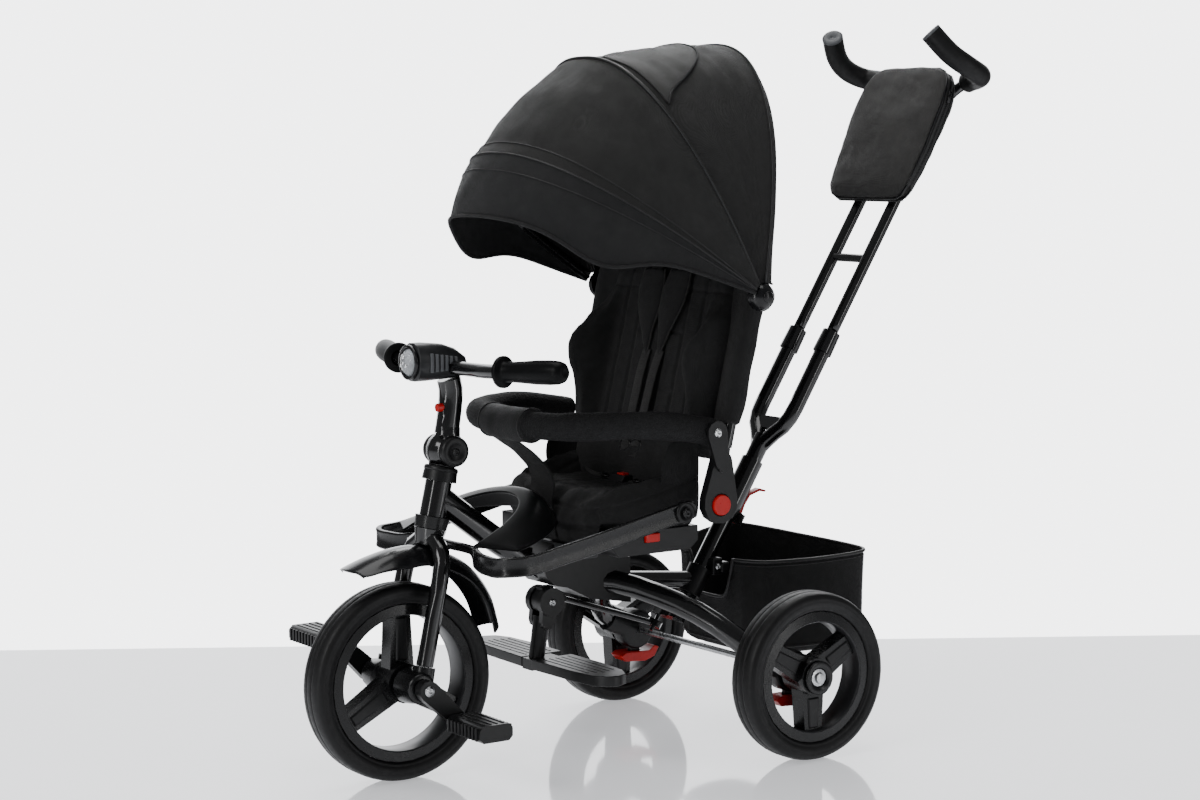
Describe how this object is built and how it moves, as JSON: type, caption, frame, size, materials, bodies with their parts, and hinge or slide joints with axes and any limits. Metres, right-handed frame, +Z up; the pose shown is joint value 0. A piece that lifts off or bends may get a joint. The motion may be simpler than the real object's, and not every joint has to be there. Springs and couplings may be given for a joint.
{
  "type": "children's tricycle",
  "caption": "Child's push tricycle with a steering push bar, reclining padded seat, folding canopy, bumper bar, folding footrest and handlebar, front hoop, handle bag and rear basket.",
  "frame": {"origin": "on the ground under the centre of the front wheel, where its tyre touches", "axes": "+Z up, -Y is the way the tricycle faces, +X is the child's left"},
  "size_m": [0.557, 1.1331, 1.0546],
  "materials": {
    "gloss_paint": "gloss black powder coat",
    "gloss_plastic": "glossy moulded black",
    "plastic": "fine-grained satin black moulding",
    "dark_grey_plastic": "satin dark grey moulding",
    "foam": "closed-cell foam tyre, matt with fine grooves",
    "steel": "zinc-plated rod and bolts",
    "fabric": "black woven cloth over padding or bows",
    "oxford_fabric": "brown-grey heavy woven cloth",
    "red_plastic": "moulded red",
    "clear_lens": "clear moulded lens over a bright reflector"
  },
  "bodies": {
    "frame": {"main_frame": "gloss_paint", "headset_lower": "gloss_plastic", "headset_upper": "gloss_plastic", "frame_cover": "plastic", "front_cowl": "plastic", "front_hoop": "plastic", "rear_axle": "steel", "seat_base": "plastic", "seat_cushion": "fabric", "recline_housing_left": "dark_grey_plastic", "recline_housing_right": "dark_grey_plastic", "buckle": "plastic", "footrest_bracket": "plastic", "push_socket": "plastic", "basket": "fabric", "brake_housing_left": "plastic", "brake_housing_right": "plastic"},
    "fork": {"fork": "gloss_paint", "mudguard": "gloss_plastic", "hub_bracket_left": "plastic", "hub_bracket_right": "plastic", "stem_hinge": "gloss_plastic"},
    "handlebar": {"stem": "gloss_paint", "handlebar": "gloss_paint", "grip_left": "plastic", "grip_right": "plastic", "console": "dark_grey_plastic", "lamp_lens": "clear_lens"},
    "stem_button": {"stem_button": "red_plastic"},
    "front_wheel": {"front_rim": "plastic", "front_tyre": "foam", "crankset": "plastic"},
    "pedal_left": {"pedal_left": "plastic"},
    "pedal_right": {"pedal_right": "plastic"},
    "rear_wheel_left": {"rear_rim_left": "plastic", "rear_tyre_left": "foam"},
    "rear_wheel_right": {"rear_rim_right": "plastic", "rear_tyre_right": "foam"},
    "brake_pedal_left": {"brake_pedal_left": "red_plastic"},
    "brake_pedal_right": {"brake_pedal_right": "red_plastic"},
    "footrest": {"footrest_post": "plastic", "foot_plate_left": "plastic", "foot_plate_right": "plastic"},
    "backrest": {"back_frame": "gloss_paint", "backrest_pad": "fabric", "canopy_hub_left": "gloss_plastic", "canopy_hub_right": "gloss_plastic", "canopy_rear": "fabric"},
    "canopy": {"canopy_front": "fabric"},
    "recline_button_left": {"recline_button_left": "red_plastic"},
    "recline_button_right": {"recline_button_right": "red_plastic"},
    "seat_button_left": {"seat_button_left": "red_plastic"},
    "seat_button_right": {"seat_button_right": "red_plastic"},
    "bumper": {"bumper_bar": "fabric"},
    "push_bar": {"handle_lower": "gloss_paint"},
    "release_lever": {"release_lever": "red_plastic"},
    "push_handle": {"handle_upper": "gloss_paint", "handle_bag": "oxford_fabric"},
    "steering_rod": {"steering_rod": "gloss_paint"},
    "buckle_button": {"buckle_button": "red_plastic"}
  },
  "joints": [
    {"name": "steering", "type": "hinge", "parent": "frame", "child": "fork", "pos_m": [0, 0.009, 0.14], "axis": [0, 0.225, 0.9744], "range_deg": [-24, 24]},
    {"name": "handlebar_fold", "type": "hinge", "parent": "fork", "child": "handlebar", "pos_m": [0, 0.08485, 0.45963], "axis": [1, 0, 0], "range_deg": [0, 85]},
    {"name": "stem_button_press", "type": "slide", "parent": "handlebar", "child": "stem_button", "axis": [0, 1, 0], "range_m": [0, 0.003], "stiffness_N_per_m": 600},
    {"name": "front_wheel_spin", "type": "hinge", "parent": "fork", "child": "front_wheel", "pos_m": [0, 0, 0.14], "axis": [1, 0, 0], "continuous": true},
    {"name": "pedal_left_spin", "type": "hinge", "parent": "front_wheel", "child": "pedal_left", "pos_m": [0.139, 0.04963, 0.09207], "axis": [1, 0, 0], "continuous": true},
    {"name": "pedal_right_spin", "type": "hinge", "parent": "front_wheel", "child": "pedal_right", "pos_m": [-0.139, -0.04963, 0.18793], "axis": [1, 0, 0], "continuous": true},
    {"name": "rear_wheel_left_spin", "type": "hinge", "parent": "frame", "child": "rear_wheel_left", "pos_m": [0.246, 0.5355, 0.122], "axis": [1, 0, 0], "continuous": true},
    {"name": "rear_wheel_right_spin", "type": "hinge", "parent": "frame", "child": "rear_wheel_right", "pos_m": [-0.246, 0.5355, 0.122], "axis": [1, 0, 0], "continuous": true},
    {"name": "brake_pedal_left_rock", "type": "hinge", "parent": "frame", "child": "brake_pedal_left", "pos_m": [0.2, 0.536, 0.082], "axis": [1, 0, 0], "range_deg": [-10, 10]},
    {"name": "brake_pedal_right_rock", "type": "hinge", "parent": "frame", "child": "brake_pedal_right", "pos_m": [-0.2, 0.536, 0.082], "axis": [1, 0, 0], "range_deg": [-10, 10]},
    {"name": "footrest_fold", "type": "hinge", "parent": "frame", "child": "footrest", "pos_m": [0, 0.246, 0.227], "axis": [1, 0, 0], "range_deg": [0, 45]},
    {"name": "backrest_recline", "type": "hinge", "parent": "frame", "child": "backrest", "pos_m": [0, 0.414, 0.375], "axis": [-1, 0, 0], "range_deg": [0, 15]},
    {"name": "canopy_fold", "type": "hinge", "parent": "backrest", "child": "canopy", "pos_m": [0, 0.487, 0.667], "axis": [-1, 0, 0], "range_deg": [0, 50]},
    {"name": "recline_button_left_press", "type": "slide", "parent": "frame", "child": "recline_button_left", "axis": [-1, 0, 0], "range_m": [0, 0.003], "stiffness_N_per_m": 600},
    {"name": "seat_button_left_press", "type": "slide", "parent": "frame", "child": "seat_button_left", "axis": [-1, 0, 0], "range_m": [0, 0.003], "stiffness_N_per_m": 600},
    {"name": "recline_button_right_press", "type": "slide", "parent": "frame", "child": "recline_button_right", "axis": [1, 0, 0], "range_m": [0, 0.003], "stiffness_N_per_m": 600},
    {"name": "seat_button_right_press", "type": "slide", "parent": "frame", "child": "seat_button_right", "axis": [1, 0, 0], "range_m": [0, 0.003], "stiffness_N_per_m": 600},
    {"name": "bumper_lift", "type": "hinge", "parent": "frame", "child": "bumper", "pos_m": [0, 0.406, 0.479], "axis": [-1, 0, 0], "range_deg": [0, 40]},
    {"name": "push_twist", "type": "hinge", "parent": "frame", "child": "push_bar", "pos_m": [0, 0.502, 0.211], "axis": [0, 0.5373, 0.8434], "range_deg": [-12, 12]},
    {"name": "release_lever_pull", "type": "hinge", "parent": "push_bar", "child": "release_lever", "pos_m": [0, 0.58972, 0.31519], "axis": [-1, 0, 0], "range_deg": [0, 12], "stiffness_Nm_per_rad": 0.3},
    {"name": "handle_slide", "type": "slide", "parent": "push_bar", "child": "push_handle", "axis": [0, 0.5373, 0.8434], "range_m": [-0.035, 0.045]},
    {"name": "steering_rod_slide", "type": "slide", "parent": "frame", "child": "steering_rod", "axis": [0.0832, -0.942, 0.3252], "range_m": [-0.0095, 0.0095]},
    {"name": "buckle_button_press", "type": "slide", "parent": "frame", "child": "buckle_button", "axis": [0, 0, -1], "range_m": [0, 0.002], "stiffness_N_per_m": 600}
  ],
  "couplings": [
    {"joint": "push_twist", "follows": "steering", "ratio": 0.5},
    {"joint": "steering_rod_slide", "follows": "steering", "m_per_rad": 0.02181}
  ]
}
